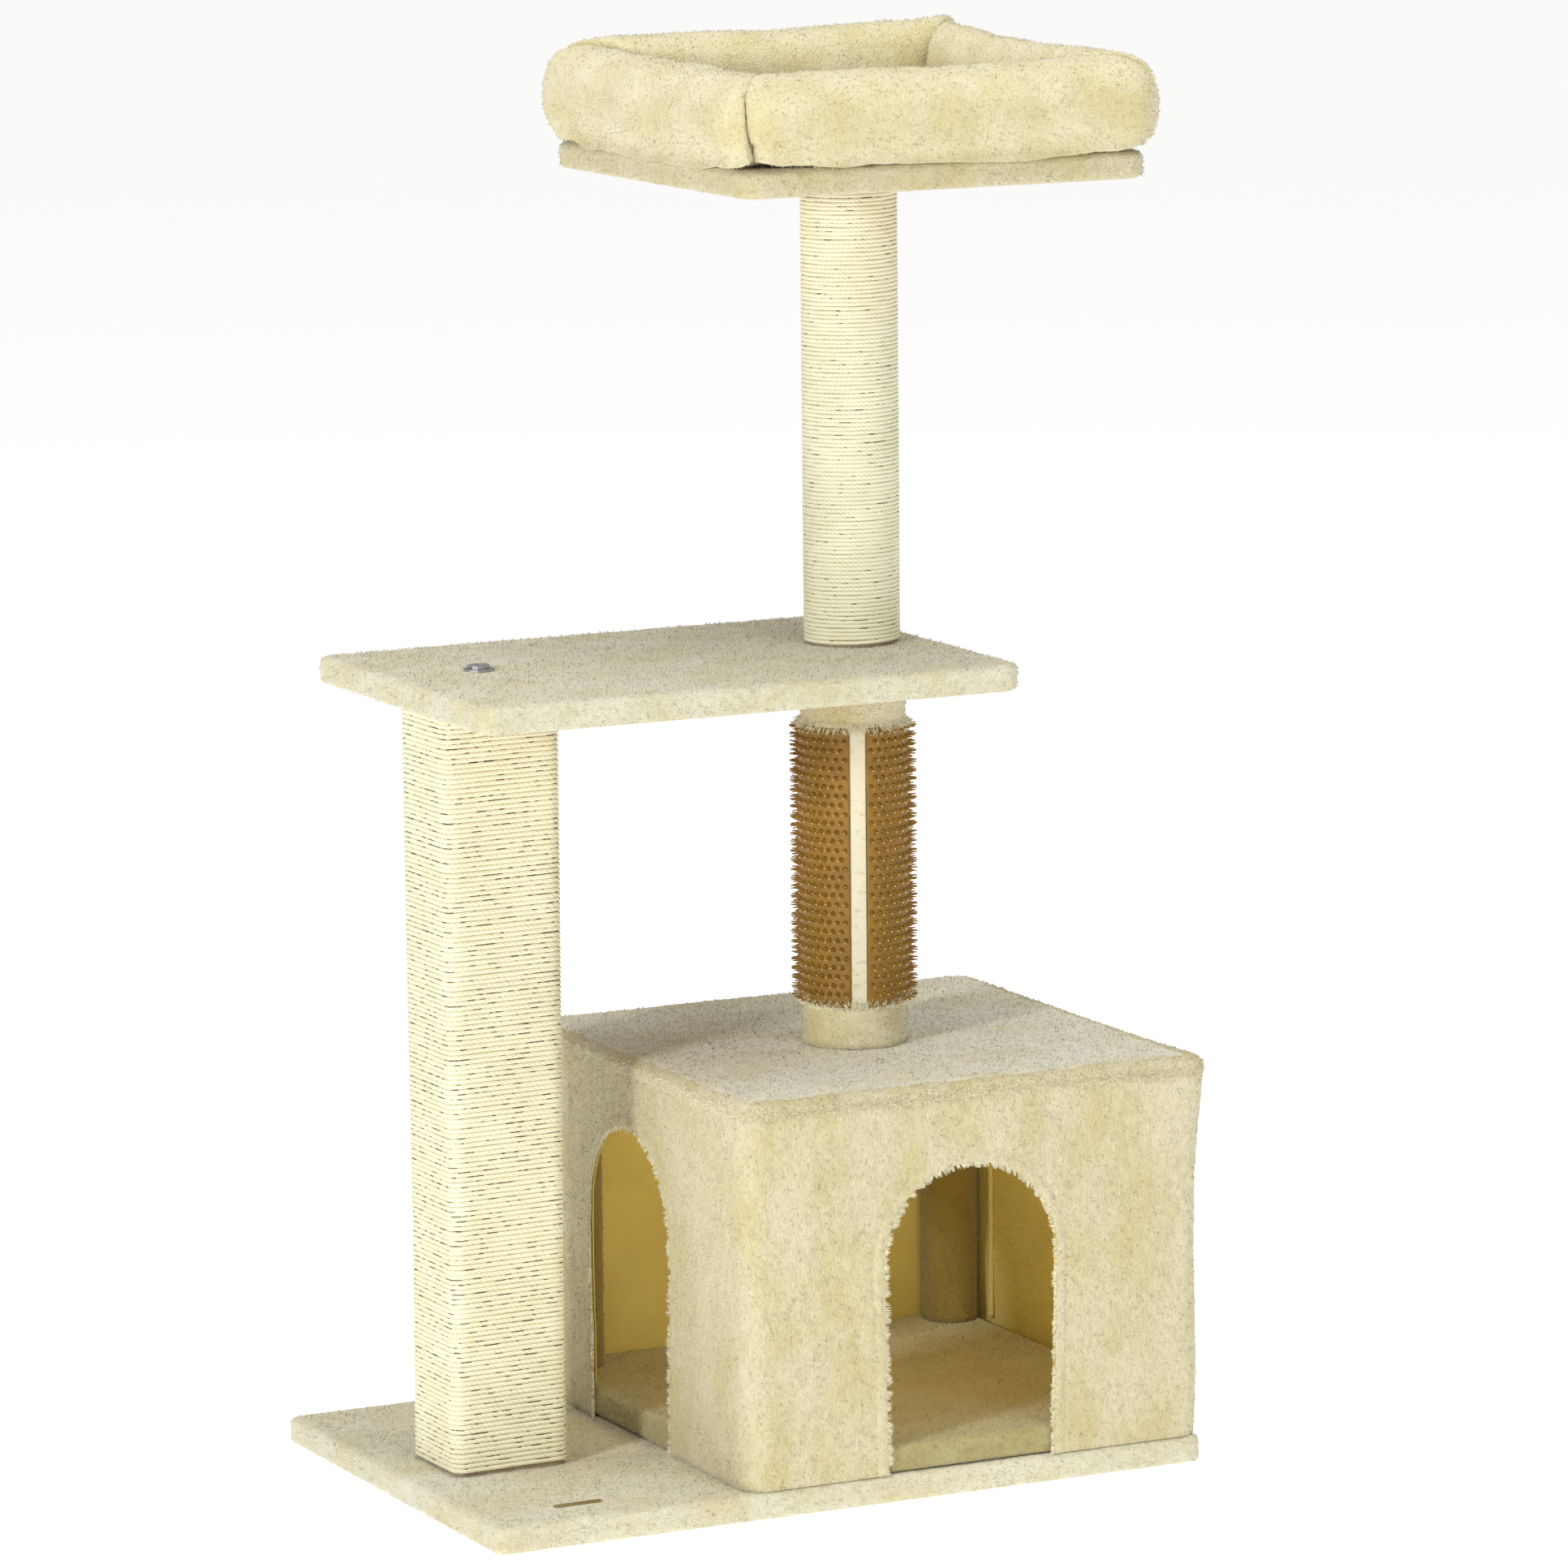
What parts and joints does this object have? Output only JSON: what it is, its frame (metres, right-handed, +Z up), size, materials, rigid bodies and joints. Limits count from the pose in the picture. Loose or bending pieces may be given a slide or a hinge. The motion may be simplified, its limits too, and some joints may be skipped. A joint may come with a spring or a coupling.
{
  "type": "cat tree",
  "caption": "Free-standing cat tree: plush base, two-door plush house, square rope column, shelf, brush-wrapped post, rope post and a padded bed on top.",
  "frame": {"origin": "centre of the base's outline, on the floor", "axes": "+Z up; +X to the right along the base's long front edge; +Y to the back"},
  "size_m": [0.6, 0.4, 1.1069],
  "materials": {
    "plush": "short fluffy pile, matt",
    "stuffed_plush": "short fluffy pile over soft filling",
    "particle_board": "raw sanded chipboard",
    "timber": "raw turned softwood",
    "card_tube": "raw wound card",
    "rope": "bleached twisted sisal, matt",
    "brush_rubber": "soft moulded bristles, satin",
    "strip": "smooth cream strip, satin",
    "zinc_steel": "zinc plated",
    "brass_plate": "brushed, blank"
  },
  "bodies": {
    "root": {"back_left_post_bolt": "zinc_steel", "back_left_post_core": "timber", "back_left_post_screw": "zinc_steel", "back_left_post_sleeve": "plush", "back_right_post_bolt": "zinc_steel", "back_right_post_core": "timber", "back_right_post_screw": "zinc_steel", "back_right_post_sleeve": "plush", "base_board": "particle_board", "base_cover": "plush", "bed_board": "particle_board", "bed_bolster_back": "stuffed_plush", "bed_bolster_front": "stuffed_plush", "bed_bolster_left": "stuffed_plush", "bed_bolster_right": "stuffed_plush", "bed_bolt": "zinc_steel", "bed_cover": "plush", "bed_washer": "zinc_steel", "brush_post_core": "card_tube", "brush_post_lower_plug": "timber", "brush_post_sleeve": "plush", "brush_post_upper_plug": "timber", "column_base_bolt": "zinc_steel", "column_base_washer": "zinc_steel", "column_core": "card_tube", "column_lower_plug": "timber", "column_rope": "rope", "column_shelf_bolt": "zinc_steel", "column_shelf_washer": "zinc_steel", "column_upper_plug": "timber", "front_door_hem": "plush", "front_left_post_bolt": "zinc_steel", "front_left_post_core": "timber", "front_left_post_screw": "zinc_steel", "front_left_post_sleeve": "plush", "front_right_post_bolt": "zinc_steel", "front_right_post_core": "timber", "front_right_post_screw": "zinc_steel", "front_right_post_sleeve": "plush", "groomer_sheet": "brush_rubber", "groomer_strip": "strip", "house_floor_board": "particle_board", "house_floor_cover": "plush", "house_roof_board": "particle_board", "house_roof_cover": "plush", "house_wall_wrap": "plush", "name_plate": "brass_plate", "roof_bolt": "zinc_steel", "roof_washer": "zinc_steel", "shelf_board": "particle_board", "shelf_cover": "plush", "shelf_stud": "zinc_steel", "side_door_hem": "plush", "upper_post_core": "card_tube", "upper_post_lower_plug": "timber", "upper_post_rope": "rope", "upper_post_upper_plug": "timber"}
  },
  "joints": []
}
